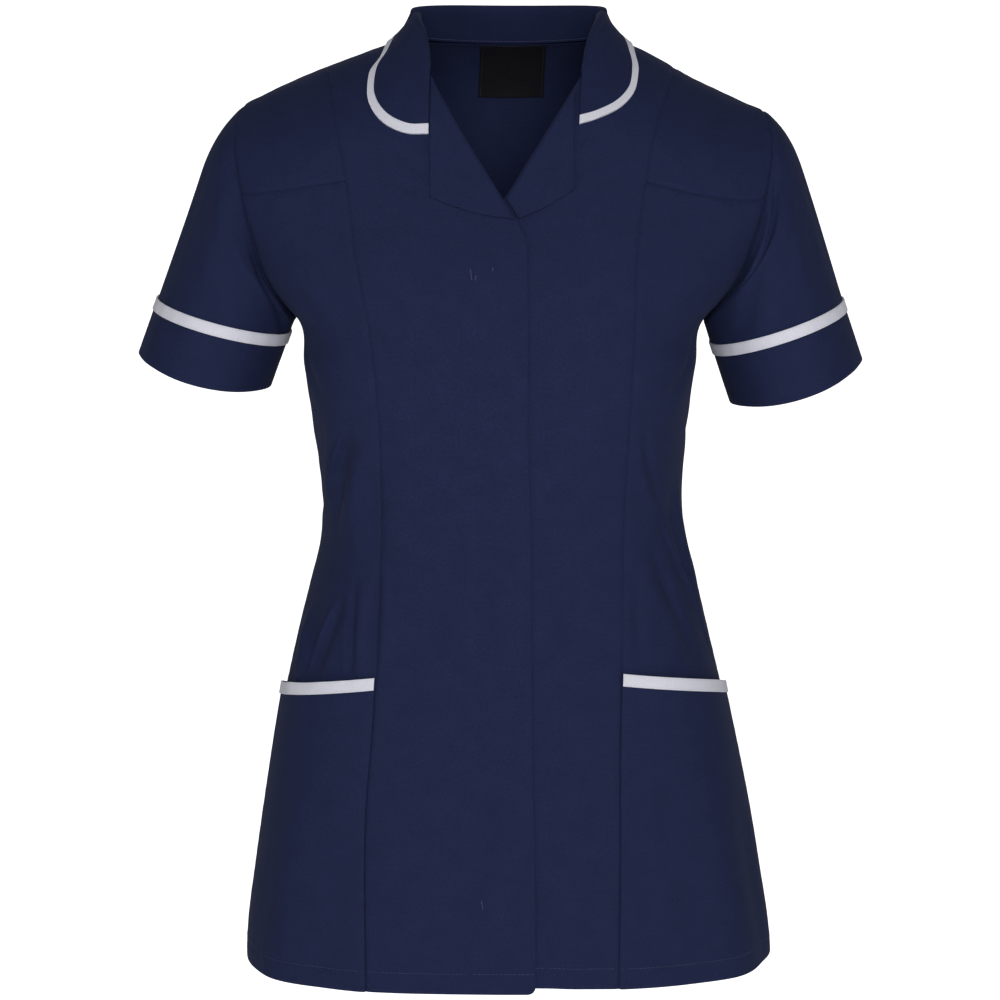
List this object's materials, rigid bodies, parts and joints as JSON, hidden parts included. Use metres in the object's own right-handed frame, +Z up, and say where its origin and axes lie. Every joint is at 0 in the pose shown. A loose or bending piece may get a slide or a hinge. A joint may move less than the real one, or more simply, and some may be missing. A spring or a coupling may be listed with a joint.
{
  "type": "work tunic",
  "caption": "Short-sleeved work tunic with a turned-down collar, lapels, concealed front closing, hip pockets and white tape trims, hollow as it is worn.",
  "frame": {"origin": "middle of the neck opening, level with the points where the shoulder seams meet the collar, where the wearer's neck passes", "axes": "+Z up, -Y out of the front, +X towards the wearer's left"},
  "size_m": [0.5367, 0.2541, 0.7123],
  "materials": {
    "navy_cloth": "matte fine twill",
    "white_tape": "matte woven tape",
    "label_weave": "smooth woven ribbon"
  },
  "bodies": {
    "root": {"centre_front_right": "navy_cloth", "centre_front_left": "navy_cloth", "side_front_right": "navy_cloth", "side_front_left": "navy_cloth", "front_yoke_right": "navy_cloth", "front_yoke_left": "navy_cloth", "back": "navy_cloth", "sleeve_right": "navy_cloth", "sleeve_left": "navy_cloth", "cuff_right": "navy_cloth", "cuff_left": "navy_cloth", "cuff_trim_right": "white_tape", "cuff_trim_left": "white_tape", "collar": "navy_cloth", "collar_trim": "white_tape", "lapel_right": "navy_cloth", "lapel_left": "navy_cloth", "pocket_right": "navy_cloth", "pocket_left": "navy_cloth", "pocket_trim_right": "white_tape", "pocket_trim_left": "white_tape", "neck_label": "label_weave"}
  },
  "joints": []
}
